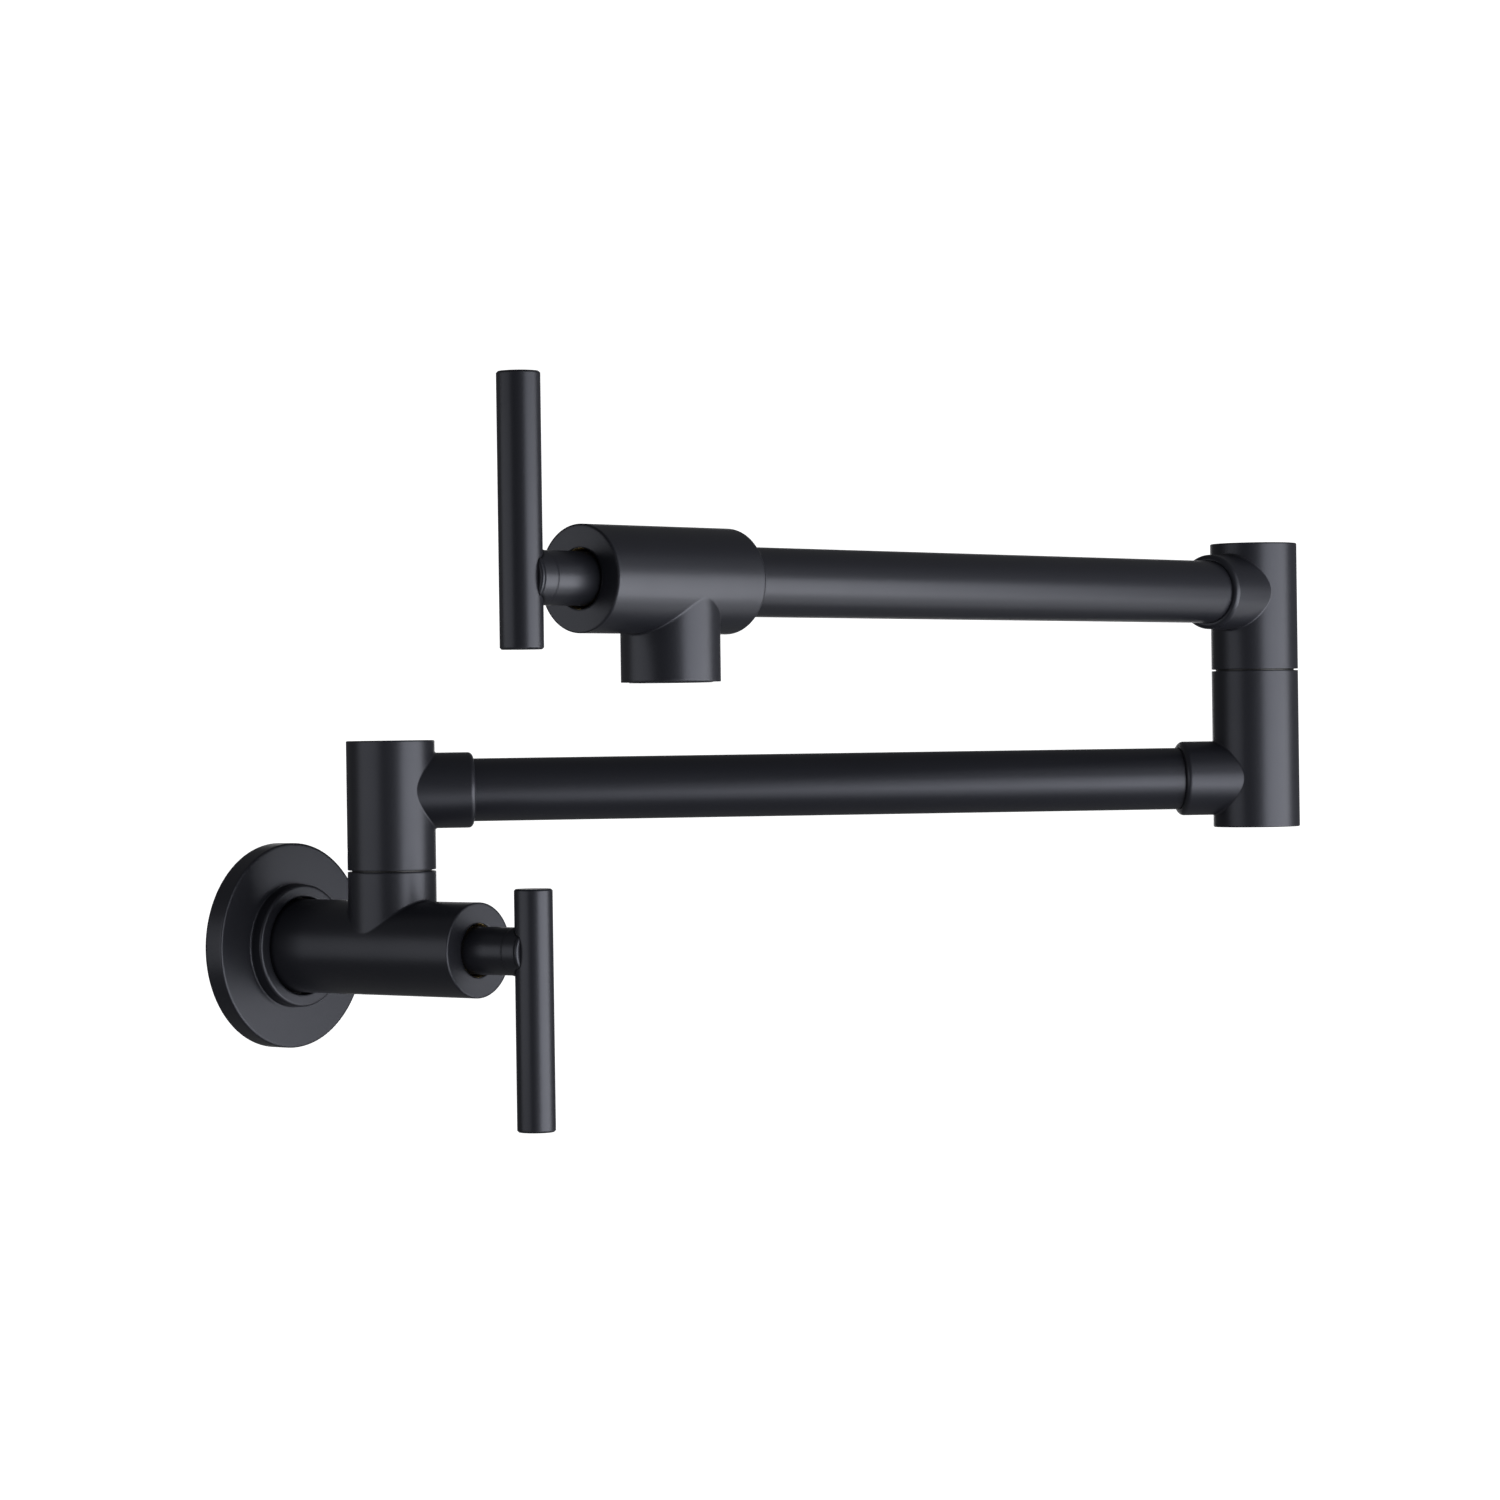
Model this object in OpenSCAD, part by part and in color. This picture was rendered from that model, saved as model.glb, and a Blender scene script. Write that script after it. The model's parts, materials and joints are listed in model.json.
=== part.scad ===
// Wall mounted pot filler: a folding arm of two tubes between two swivels, with a quarter-turn
// valve at the wall and another at the spout. Lengths are in millimetres. The wall is the plane
// y = 0, the room lies towards -y and +z is up. The origin is the middle of the inlet's mouth.

/* [Wall flange] */
// Outer diameter of the flange
flange_d = 66; // [58:1:80]
// Thickness of the flange at its edge
flange_t = 7; // [5:0.5:9]
// Thickness of the flange's front plate and of its edge wall
flange_wall = 2.5; // [2:0.25:3.5]
// Width of the raised ring round the valve body
ring_w = 3.9; // [3.4:0.1:6]
// Height of the raised ring over the flange's face
ring_h = 4.5; // [3:0.5:8]
// Gap between the raised ring and the valve body
ring_gap = 0.8; // [0.5:0.1:1.2]

/* [Valve bodies] */
// Diameter of both valve bodies
valve_d = 30; // [29:0.5:34]
// From the wall to the axis of the wall swivel
riser_reach = 50.5; // [46:0.5:70]
// From the riser or spout axis to the front face of its valve body
valve_nose = 36.5; // [34:0.5:44]
// From the spout axis to the back end of its valve body
spout_back = 24; // [22:0.5:32]
// From the upper arm's axis down to the spout's end
spout_drop = 28.4; // [26:0.2:48]
// Diameter of the bore that takes the cartridge and the handle hub
valve_bore_d = 16.8; // [16.4:0.1:17.8]
// Diameter of the water way through a valve body
port_d = 11; // [8:0.5:12]

/* [Inlet] */
// Diameter of the inlet's threaded hole, at the thread's crests
inlet_d = 18.6; // [15:0.1:24]
// Depth of the inlet's thread
inlet_depth = 14; // [10:0.5:18]
// Thickness of the washer at the bottom of the inlet
inlet_washer_t = 2.5; // [1.5:0.5:4]

/* [Swivels] */
// Diameter of the swivel bodies, the riser and the spout stub
swivel_d = 28; // [27:0.5:29.5]
// Height of the wall swivel's seam over the inlet axis
seam_h = 24.6; // [22:0.2:36]
// From a swivel's seam up to the axis of its arm
arm_rise = 25.1; // [24.6:0.1:36]
// From an arm's axis to the closed end of its swivel or elbow
cap_h = 16; // [13:0.5:24]
// From the lower arm's axis up to the elbow's seam
elbow_rise = 35; // [30:0.5:50]
// Visible gap at a seam
seam_gap = 0.5; // [0.2:0.05:0.6]
// Diameter of the spigot that a swivel turns on
spigot_d = 19; // [18:0.25:20]
// Bore of the spigot
spigot_bore_d = 13; // [10:0.5:14]

/* [Arms] */
// Length of each arm between its two vertical axes
arm_len = 282; // [180:1:360]
// Outer diameter of the arm tubes
tube_d = 20; // [17:0.5:20.5]
// Wall of the arm tubes
tube_wall = 1.2; // [0.8:0.1:2]
// Diameter of the bosses that hold the tubes
boss_d = 24; // [23:0.5:26]
// Reach of a boss from its vertical axis
boss_len = 26; // [23:0.5:34]
// Depth of a tube in its boss
socket_depth = 12; // [8:0.5:13]
// Bearing of the lower arm from +x, as photographed
lower_angle = -42.6; // [-150:0.1:-30]
// Bearing of the upper arm from +x, as photographed
upper_angle = 177.1; // [100:0.1:250]

/* [Handles] */
// Diameter of the bar handles
bar_d = 12; // [9:0.5:14]
// From the valve axis to the bar's far end
bar_long = 55.5; // [35:0.5:80]
// From the valve axis to the bar's near end
bar_short = 19.5; // [14:0.5:30]
// From the valve body's face to the bar's axis
bar_reach = 22.8; // [21:0.2:34]
// Diameter of the handle hubs
hub_d = 15; // [14:0.1:15.6]
// Step of the hub's collar over the hub, beside the bar
hub_step = 0.25; // [0.1:0.05:0.4]
// Depth of the hub's end inside the valve body
hub_in = 6; // [4:0.5:8]

/* [Cartridges] */
// Diameter of the stem where it turns in the cartridge
stem_d = 9; // [8:0.25:9.5]
// Diameter of the serrated stem end in the hub
spline_d = 7.8; // [7:0.1:7.9]
// Inner diameter of the cartridge round its discs
chamber_d = 13.2; // [12.6:0.1:13.6]
// Thickness of each ceramic disc
disc_t = 2.5; // [2:0.1:3]
// Diameter of the two ports in a disc
disc_port_d = 3.8; // [2.5:0.1:4.2]

/* [Aerator] */
// Diameter of the aerator's thread
aerator_d = 24; // [21:0.5:24.5]
// Height of the aerator with its gasket
aerator_h = 10; // [8:0.5:13]
// How far the aerator stands out under the spout
aerator_out = 0.2; // [0.2:0.1:1.5]

/* [Hidden] */
$fn = 96;
// Fits: one piece seated in another, a turning pair, and a disc or thrust face that slides
seat_fit = 0.02;
turn_fit = 0.05;
slide_fit = 0.02;
face_fit = 0.05;
// Overrun of every cut past the face it opens
over = 1;
// Size of the chamfer or round on turned edges, and of the finer one beside a seam
edge = 0.4;
seam_edge = 0.15;

// Radii that several pieces share
valve_r = valve_d / 2;
valve_bore_r = valve_bore_d / 2;
swivel_r = swivel_d / 2;
spigot_r = spigot_d / 2;
spigot_bore_r = spigot_bore_d / 2;
tube_r = tube_d / 2;
tube_bore_r = tube_r - tube_wall;
boss_r = boss_d / 2;
port_r = port_d / 2;
bar_r = bar_d / 2;
hub_r = hub_d / 2;
stem_r = stem_d / 2;
spline_r = spline_d / 2;
chamber_r = chamber_d / 2;

// Heights of the lower arm and of the elbow's seam
lower_arm_z = seam_h + arm_rise;
elbow_seam_z = lower_arm_z + elbow_rise;

// Swivel: set screw, its groove, the two rings, the spigot and its threaded base
screw_d = 4;
screw_up = 6.2;
screw_groove_w = 4.4;
screw_groove_depth = 1.5;
screw_sink = 0.8;
screw_tip_gap = 0.4;
screw_key_af = 2;
screw_key_depth = 2;
ring_cord_r = 0.7;
ring_groove_depth = 1.4;
ring_groove_w = 1.8;
ring_land = 0.6;
ring_pitch = 3.4;
ring_1_up = screw_up + screw_groove_w / 2 + ring_land + ring_groove_w / 2;
ring_2_up = ring_1_up + ring_pitch;
spigot_top_land = 1.5;
spigot_h = ring_2_up + ring_groove_w / 2 + spigot_top_land;
spigot_base_w = 0.7;
spigot_base_r = spigot_r + spigot_base_w;
spigot_base_len = 10.4;
thrust_w = 3.1;
thrust_t = 1.2;
thrust_in_r = spigot_r + turn_fit;
thrust_out_r = thrust_in_r + thrust_w;

// Arm bosses and tube ends
boss_lip = 0.4;
boss_round = boss_r - tube_r - boss_lip;
tube_seal_t = 1.5;
tube_start = boss_len - socket_depth;
seal_edge_gap = 0.05;

// Valve body: depths are counted from the front face, inwards
seat_past = 10;
seat_depth = valve_nose + seat_past;
seat_wall = 2.5;
spout_socket = spout_back - seat_past - seat_wall - tube_seal_t;
inlet_washer_lip = 0.5;

// Cartridge, from the nut to the seat
nut_gap = 3;
nut_hex_af = 12.6;
nut_hex_t = 2.6;
nut_t = 8;
nut_start = hub_in + nut_gap;
nut_bore_gap = 0.3;
sleeve_start = nut_start + nut_t;
sleeve_wall = 0.7;
sleeve_seal_len = 12;
sleeve_ring_down = 7;
sleeve_short = 0.5;
sleeve_end = seat_depth - sleeve_short;
seal_t = 3;
seal_bore_r = 5;
fixed_end = seat_depth - seal_t;
fixed_start = fixed_end - disc_t;
moving_end = fixed_start - slide_fit;
moving_start = moving_end - disc_t;
disc_in_gap = 0.2;
disc_port_r = disc_port_d / 2;
disc_port_orbit = 3.9;
fork_t = 4;
fork_end = moving_start - slide_fit;
fork_start = fork_end - fork_t;
fork_flat = 3.2;
chamber_start = fork_start - face_fit;
window_r = 2.2;
window_depth = (fork_start + fork_end) / 2;
key_w = 2;
key_len = 9;
key_h = 1;
key_gap = 0.1;

// Stem end, hub socket and the screws of a handle
stem_out = 6;
tip_gap = 0.5;
stem_ring_r = 0.6;
stem_ring_groove = 1.2;
stem_ring_groove_w = 1.5;
serrations = 20;
serration_r = 0.3;
bar_screw_d = 4;
bar_screw_head_d = 7;
bar_screw_head_t = 2.8;
bar_screw_bite = 4.5;
bar_screw_key_af = 3;
bar_screw_key_depth = 1.6;
hub_screw_d = 4;
hub_screw_out = 2.3;
hub_screw_sink = 0.4;
hub_screw_key_af = 2;
hub_screw_key_depth = 1.6;
hub_collar_past = 1;
hub_short = 1.4;
hub_chamfer = 0.6;
bar_chamfer = 0.5;

// Flange details
ring_round = 0.8;
flange_edge = 0.5;
flange_ring_r = 1;
flange_groove_w = 2.2;

// Aerator, counted up from the spout's end
aerator_r = aerator_d / 2;
aerator_wall = 1.8;
aerator_lip_w = 0.8;
aerator_lip_t = 1.1;
aerator_gasket_t = 2;
aerator_gasket_w = 3.4;
screen_t = 1.2;
screen_pitch = 2.3;
screen_hole_r = 0.85;
screen_rows = 3;
insert_plate_t = 1.8;
insert_wall = 1.1;
insert_hole_r = 0.8;
insert_holes = 12;
insert_orbit_share = 0.6;

black = [0.09, 0.09, 0.10];
brass = [0.80, 0.62, 0.28];
rubber = [0.13, 0.13, 0.13];
plastic = [0.88, 0.88, 0.85];
black_plastic = [0.10, 0.10, 0.10];
ceramic = [0.93, 0.91, 0.86];
steel = [0.60, 0.60, 0.62];

// Places

// Wall swivel: origin where the lower arm's axis crosses the riser axis, +x along the arm
module at_wall_swivel() {
    translate([0, -riser_reach, lower_arm_z])
        rotate([0, 0, lower_angle])
            children();
}

// Elbow, lower half: the same height and bearing, at the arm's far end
module at_elbow_lower() {
    at_wall_swivel()
        translate([arm_len, 0, 0])
            children();
}

// Elbow, upper half: +x along the upper arm
module at_elbow_upper() {
    at_elbow_lower()
        translate([0, 0, elbow_rise + arm_rise])
            rotate([0, 0, upper_angle - lower_angle])
                children();
}

// Spigots: origin in the middle of the seam
module at_wall_seam() {
    at_wall_swivel()
        translate([0, 0, -arm_rise])
            children();
}

module at_elbow_seam() {
    at_elbow_lower()
        translate([0, 0, elbow_rise])
            children();
}

// Valves: origin on the front face, +z out of it, +x to the handle bar's long end
module at_lower_valve() {
    translate([0, -riser_reach - valve_nose, 0])
        rotate([0, 0, -90])
            rotate([0, 90, 0])
                children();
}

module at_upper_valve() {
    at_elbow_upper()
        translate([arm_len + valve_nose, 0, 0])
            rotate([0, 90, 0])
                rotate([0, 0, 180])
                    children();
}

// Aerator: origin in the spout's end, +z up into the stub
module at_spout_end() {
    at_elbow_upper()
        translate([arm_len, 0, -spout_drop])
            children();
}

// Shapes that repeat

// A turned rod up from z = 0, chamfered at both ends
module turned_rod(r, h, low, high) {
    rotate_extrude()
        polygon([[0, 0], [r - low, 0], [r, low], [r, h - high], [r - high, h], [0, h]]);
}

// The same with round edges
module rounded_rod(r, h, low, high) {
    rotate_extrude() {
        polygon([[0, 0], [r - low, 0], [r, low], [r, h - high], [r - high, h], [0, h]]);
        translate([r - low, low])
            circle(low);
        translate([r - high, h - high])
            circle(high);
    }
}

// A plain ring up from z = 0
module washer(r_in, r_out, t) {
    rotate_extrude()
        translate([r_in, 0])
            square([r_out - r_in, t]);
}

// A rubber cord ring round the z axis
module cord_ring(r_in, cord_r) {
    rotate_extrude()
        translate([r_in + cord_r, 0])
            circle(cord_r);
}

// A groove turned into a shaft, to be cut from it: z is the groove's middle
module shaft_groove(z, r, depth, w) {
    translate([0, 0, z - w / 2])
        washer(r - depth, r + over, w);
}

// A set screw with its tip at the origin and its keyed end towards +z
module set_screw(d, len, key_af, key_depth) {
    difference() {
        turned_rod(d / 2, len, edge, edge / 2);
        translate([0, 0, len - key_depth])
            rotate([0, 0, 30])
                cylinder(d = key_af / cos(30), h = key_depth + over, $fn = 6);
    }
}

// Swivels

// Boss of an arm along +x, well rounded where the tube leaves it
module arm_boss() {
    rotate([0, 90, 0])
        rounded_rod(boss_r, boss_len, edge, boss_round);
}

// Water way and tube socket of a boss, to be cut from it
module arm_way() {
    rotate([0, 90, 0]) {
        cylinder(r = tube_bore_r, h = boss_len);
        translate([0, 0, tube_start - tube_seal_t])
            cylinder(r = tube_r + seat_fit, h = socket_depth + tube_seal_t + over);
    }
}

// Turning body over a spigot: origin where the arm's axis crosses the swivel's axis
module swivel_body() {
    body_low = -arm_rise + seam_gap / 2;
    difference() {
        union() {
            translate([0, 0, body_low])
                rounded_rod(swivel_r, cap_h - body_low, seam_edge, edge);
            arm_boss();
        }
        // Bore that turns on the spigot, up to the water way's top
        translate([0, 0, body_low - over])
            cylinder(r = spigot_r + turn_fit, h = tube_bore_r - body_low + over);
        // Seat of the thrust washer
        translate([0, 0, -arm_rise - over])
            cylinder(r = thrust_out_r + face_fit, h = over - seam_gap / 2 + thrust_t + face_fit);
        arm_way();
        // Set screw's threaded hole, away from the arm
        translate([0, 0, screw_up - arm_rise])
            rotate([0, -90, 0])
                cylinder(d = screw_d + 2 * seat_fit, h = swivel_r + over);
    }
}

// Set screw of a swivel body, in the same frame
module swivel_screw() {
    tip = spigot_r - screw_groove_depth + screw_tip_gap;
    translate([-tip, 0, screw_up - arm_rise])
        rotate([0, -90, 0])
            set_screw(screw_d, swivel_r - screw_sink - tip, screw_key_af, screw_key_depth);
}

// Spigot: origin in the middle of its seam
module spigot() {
    difference() {
        union() {
            translate([0, 0, -seam_gap / 2 - spigot_base_len])
                turned_rod(spigot_base_r, spigot_base_len, edge, edge / 2);
            translate([0, 0, -seam_gap / 2 - edge])
                turned_rod(spigot_r, spigot_h + seam_gap / 2 + edge, edge / 2, edge);
        }
        translate([0, 0, -seam_gap / 2 - spigot_base_len - over])
            cylinder(r = spigot_bore_r, h = spigot_base_len + spigot_h + seam_gap / 2 + 2 * over);
        shaft_groove(screw_up, spigot_r, screw_groove_depth, screw_groove_w);
        for (z = [ring_1_up, ring_2_up])
            shaft_groove(z, spigot_r, ring_groove_depth, ring_groove_w);
    }
}

module spigot_o_rings() {
    for (z = [ring_1_up, ring_2_up])
        translate([0, 0, z])
            cord_ring(spigot_r - ring_groove_depth + seat_fit, ring_cord_r);
}

module thrust_washer() {
    translate([0, 0, -seam_gap / 2])
        washer(thrust_in_r, thrust_out_r, thrust_t);
}

// Threaded bore for a spigot's base, to be cut from the body under the seam
module spigot_seat() {
    translate([0, 0, -seam_gap / 2 - spigot_base_len])
        cylinder(r = spigot_base_r + seat_fit, h = spigot_base_len + over);
}

// Washer between a tube's end and the bottom of its socket, at distance x along the arm
module tube_seal(x) {
    translate([x, 0, 0])
        rotate([0, 90, 0])
            washer(tube_bore_r, tube_r - seal_edge_gap, tube_seal_t);
}

// A tube along +x from x0 to x1
module arm_tube(x0, x1) {
    translate([x0, 0, 0])
        rotate([0, 90, 0])
            difference() {
                turned_rod(tube_r, x1 - x0, edge / 2, edge / 2);
                translate([0, 0, -over])
                    cylinder(r = tube_bore_r, h = x1 - x0 + 2 * over);
            }
}

// Valves, counted down from the front face at z = 0

// Barrel and branch of a valve body with their shared bores: the branch points along -x and has a
// fine edge at its end, for a seam or a spout
module valve_barrel(back_len, branch_len) {
    difference() {
        union() {
            translate([0, 0, -valve_nose - back_len])
                rounded_rod(valve_r, valve_nose + back_len, edge, edge);
            translate([0, 0, -valve_nose])
                rotate([0, -90, 0])
                    rounded_rod(swivel_r, branch_len, edge, seam_edge);
        }
        // Bore for the cartridge and the hub
        translate([0, 0, -seat_depth])
            cylinder(r = valve_bore_r, h = seat_depth + over);
        // Water way behind the seat
        translate([0, 0, -valve_nose - back_len - over])
            cylinder(r = port_r, h = valve_nose + back_len);
        // Water way into the branch
        translate([0, 0, -valve_nose])
            rotate([0, -90, 0])
                cylinder(r = spigot_bore_r, h = branch_len + over);
    }
}

module cartridge_body() {
    difference() {
        union() {
            translate([0, 0, -sleeve_start - sleeve_seal_len])
                turned_rod(valve_bore_r - turn_fit, sleeve_seal_len, edge, edge);
            translate([0, 0, -sleeve_end])
                turned_rod(chamber_r + sleeve_wall, sleeve_end - sleeve_start - edge, edge / 2, edge);
        }
        // Journal of the stem
        translate([0, 0, -chamber_start - over])
            cylinder(r = stem_r + turn_fit, h = chamber_start - sleeve_start + 2 * over);
        // Chamber of the fork, the discs and the seat seal
        translate([0, 0, -sleeve_end - over])
            cylinder(r = chamber_r, h = sleeve_end - chamber_start + over);
        // Windows on both sides
        translate([0, 0, -window_depth])
            rotate([90, 0, 0])
                cylinder(r = window_r, h = 2 * valve_bore_r, center = true);
        // Groove of the outer ring
        shaft_groove(-sleeve_start - sleeve_ring_down, valve_bore_r - turn_fit,
            ring_groove_depth, ring_groove_w);
    }
}

module cartridge_o_ring() {
    translate([0, 0, -sleeve_start - sleeve_ring_down])
        cord_ring(valve_bore_r - turn_fit - ring_groove_depth + seat_fit, ring_cord_r);
}

// Nut with a hexagon in front and a threaded shank behind it
module cartridge_nut() {
    difference() {
        union() {
            translate([0, 0, -nut_start - nut_hex_t])
                cylinder(d = nut_hex_af / cos(30), h = nut_hex_t, $fn = 6);
            translate([0, 0, -nut_start - nut_t])
                turned_rod(valve_bore_r - turn_fit, nut_t - nut_hex_t, edge, edge);
        }
        translate([0, 0, -nut_start - nut_t - over])
            cylinder(r = stem_r + nut_bore_gap, h = nut_t + 2 * over);
    }
}

// Two ports of a disc, to be cut from it, at the given turn
module disc_ports(turn, z0) {
    for (side = [0, 180])
        rotate([0, 0, turn + side])
            translate([disc_port_orbit, 0, z0 - over])
                cylinder(r = disc_port_r, h = disc_t + 2 * over);
}

module fixed_disc() {
    difference() {
        translate([0, 0, -fixed_end])
            cylinder(r = chamber_r - turn_fit, h = disc_t);
        disc_ports(90, -fixed_end);
    }
}

module moving_disc() {
    difference() {
        translate([0, 0, -moving_end])
            cylinder(r = chamber_r - disc_in_gap, h = disc_t);
        disc_ports(0, -moving_end);
        // Slot for the fork's key
        translate([-key_w / 2 - key_gap, -key_len / 2 - key_gap, -moving_start - key_h - key_gap])
            cube([key_w + 2 * key_gap, key_len + 2 * key_gap, key_h + key_gap + over]);
    }
}

module seat_seal() {
    translate([0, 0, -seat_depth])
        washer(seal_bore_r, chamber_r - seal_edge_gap, seal_t);
}

// Stem with its serrated end, a journal with a ring groove, and the fork that turns the disc
module stem() {
    fork_r = chamber_r - turn_fit;
    difference() {
        union() {
            translate([0, 0, -nut_start - edge])
                turned_rod(spline_r, nut_start + stem_out + edge, edge, edge);
            translate([0, 0, -fork_start - edge])
                turned_rod(stem_r, fork_start - nut_start + edge, edge / 2, edge);
            intersection() {
                translate([0, 0, -fork_end])
                    cylinder(r = fork_r, h = fork_t);
                translate([-fork_flat, -fork_r, -fork_end])
                    cube([2 * fork_flat, 2 * fork_r, fork_t]);
            }
            translate([-key_w / 2, -key_len / 2, -fork_end - key_h])
                cube([key_w, key_len, key_h + edge]);
        }
        for (i = [0:serrations - 1])
            rotate([0, 0, i * 360 / serrations])
                translate([spline_r, 0, -hub_in])
                    cylinder(r = serration_r, h = hub_in + stem_out + over, $fn = 24);
        shaft_groove(-sleeve_start - sleeve_ring_down, stem_r, stem_ring_groove, stem_ring_groove_w);
    }
}

module stem_o_ring() {
    translate([0, 0, -sleeve_start - sleeve_ring_down])
        cord_ring(stem_r - stem_ring_groove + seat_fit, stem_ring_r);
}

// Handles, in the valve's frame

// Hub: a sleeve with a collar, hollowed out in front to seat the bar, that ends short of the bar's
// axis
module hub() {
    socket_end = stem_out + tip_gap + bar_screw_head_t;
    hub_end = bar_reach - hub_short;
    collar_start = bar_reach - bar_r - hub_collar_past;
    difference() {
        union() {
            translate([0, 0, -hub_in])
                turned_rod(hub_r, hub_in + hub_end, hub_chamfer, edge / 2);
            translate([0, 0, collar_start])
                turned_rod(hub_r + hub_step, hub_end - collar_start, edge / 2, edge / 2);
        }
        // Socket of the stem and of the bar screw's head
        translate([0, 0, -hub_in - over])
            cylinder(r = spline_r + turn_fit, h = hub_in + over + socket_end);
        cylinder(d = bar_screw_d + 2 * seat_fit, h = bar_reach);
        // Seat of the bar
        translate([0, 0, bar_reach])
            rotate([0, 90, 0])
                cylinder(r = bar_r + seat_fit, h = 2 * valve_d, center = true);
        // Set screw's hole, away from the bar's long end
        translate([0, 0, hub_screw_out])
            rotate([0, -90, 0])
                cylinder(d = hub_screw_d + 2 * seat_fit, h = hub_r + over);
    }
}

module bar() {
    difference() {
        translate([-bar_short, 0, bar_reach])
            rotate([0, 90, 0])
                turned_rod(bar_r, bar_short + bar_long, bar_chamfer, bar_chamfer);
        translate([0, 0, bar_reach - bar_r - over])
            cylinder(d = bar_screw_d + 2 * seat_fit, h = over + bar_screw_bite + edge);
    }
}

module bar_screw() {
    head_low = stem_out + tip_gap;
    difference() {
        union() {
            translate([0, 0, head_low])
                turned_rod(bar_screw_head_d / 2, bar_screw_head_t, edge, edge / 2);
            translate([0, 0, head_low + edge])
                turned_rod(bar_screw_d / 2, bar_reach - bar_r + bar_screw_bite - head_low - edge,
                    edge / 2, edge);
        }
        translate([0, 0, head_low - over])
            cylinder(d = bar_screw_key_af / cos(30), h = bar_screw_key_depth + over, $fn = 6);
    }
}

module hub_screw() {
    tip = spline_r + seat_fit;
    translate([-tip, 0, hub_screw_out])
        rotate([0, -90, 0])
            set_screw(hub_screw_d, hub_r - hub_screw_sink - tip,
                hub_screw_key_af, hub_screw_key_depth);
}

// Sub-parts

module wall_flange() {
    bore = valve_r + ring_gap;
    ring_r = bore + ring_w;
    top = flange_t + ring_h;
    rim = flange_d / 2;
    color(black)
        rotate([90, 0, 0])
            rotate_extrude()
                difference() {
                    union() {
                        // Front plate, its edge wall and the round edge
                        polygon([
                            [bore, flange_t - flange_wall], [rim - flange_wall, flange_t - flange_wall],
                            [rim - flange_wall, 0], [rim, 0], [rim, flange_t - flange_edge],
                            [rim - flange_edge, flange_t], [bore, flange_t]
                        ]);
                        translate([rim - flange_edge, flange_t - flange_edge])
                            circle(flange_edge);
                        // Raised ring with a round outer edge
                        translate([bore, 0])
                            square([ring_w, top - ring_round]);
                        translate([bore, 0])
                            square([ring_w - ring_round, top]);
                        translate([ring_r - ring_round, top - ring_round])
                            circle(ring_round);
                    }
                    // Groove of the rubber ring, half way along the bore
                    translate([bore - over, (top - flange_groove_w) / 2])
                        square([over + 2 * flange_ring_r + 2 * seat_fit - ring_gap, flange_groove_w]);
                }
}

module flange_o_ring() {
    color(rubber)
        rotate([90, 0, 0])
            translate([0, 0, (flange_t + ring_h) / 2])
                cord_ring(valve_r + seat_fit / 2, flange_ring_r);
}

module lower_valve_body() {
    inlet_r = inlet_d / 2;
    color(black)
        difference() {
            at_lower_valve()
                valve_barrel(riser_reach, seam_h - seam_gap / 2);
            // Inlet thread, and the washer's seat behind it
            rotate([90, 0, 0]) {
                translate([0, 0, -over])
                    cylinder(r = inlet_r, h = inlet_depth + over);
                cylinder(r = inlet_r - inlet_washer_lip, h = inlet_depth + inlet_washer_t);
            }
            at_wall_seam()
                spigot_seat();
        }
}

module inlet_washer() {
    color(rubber)
        rotate([90, 0, 0])
            translate([0, 0, inlet_depth])
                washer(port_r, inlet_d / 2 - inlet_washer_lip - seal_edge_gap, inlet_washer_t);
}

module wall_spigot() {
    color(brass)
        at_wall_seam()
            spigot();
}

module wall_spigot_o_rings() {
    color(rubber)
        at_wall_seam()
            spigot_o_rings();
}

module wall_thrust_washer() {
    color(black_plastic)
        at_wall_seam()
            thrust_washer();
}

module lower_cartridge_body() {
    color(brass)
        at_lower_valve()
            cartridge_body();
}

module lower_cartridge_nut() {
    color(brass)
        at_lower_valve()
            cartridge_nut();
}

module lower_cartridge_o_ring() {
    color(rubber)
        at_lower_valve()
            cartridge_o_ring();
}

module lower_fixed_disc() {
    color(ceramic)
        at_lower_valve()
            fixed_disc();
}

module lower_seat_seal() {
    color(rubber)
        at_lower_valve()
            seat_seal();
}

module lower_stem() {
    color(brass)
        at_lower_valve()
            stem();
}

module lower_stem_o_ring() {
    color(rubber)
        at_lower_valve()
            stem_o_ring();
}

module lower_moving_disc() {
    color(ceramic)
        at_lower_valve()
            moving_disc();
}

module lower_hub() {
    color(black)
        at_lower_valve()
            hub();
}

module lower_bar() {
    color(black)
        at_lower_valve()
            bar();
}

module lower_bar_screw() {
    color(steel)
        at_lower_valve()
            bar_screw();
}

module lower_hub_screw() {
    color(steel)
        at_lower_valve()
            hub_screw();
}

module wall_swivel_body() {
    color(black)
        at_wall_swivel()
            swivel_body();
}

module wall_swivel_screw() {
    color(steel)
        at_wall_swivel()
            swivel_screw();
}

module lower_tube() {
    color(black)
        at_wall_swivel()
            arm_tube(tube_start, arm_len - tube_start);
}

module lower_tube_seals() {
    color(rubber)
        at_wall_swivel() {
            tube_seal(tube_start - tube_seal_t);
            tube_seal(arm_len - tube_start);
        }
}

module elbow_lower_body() {
    body_h = elbow_rise - seam_gap / 2 + cap_h;
    color(black)
        at_elbow_lower()
            difference() {
                union() {
                    translate([0, 0, -cap_h])
                        rounded_rod(swivel_r, body_h, edge, seam_edge);
                    rotate([0, 0, 180])
                        arm_boss();
                }
                rotate([0, 0, 180])
                    arm_way();
                cylinder(r = spigot_bore_r, h = elbow_rise);
                translate([0, 0, elbow_rise])
                    spigot_seat();
            }
}

module elbow_spigot() {
    color(brass)
        at_elbow_seam()
            spigot();
}

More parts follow.
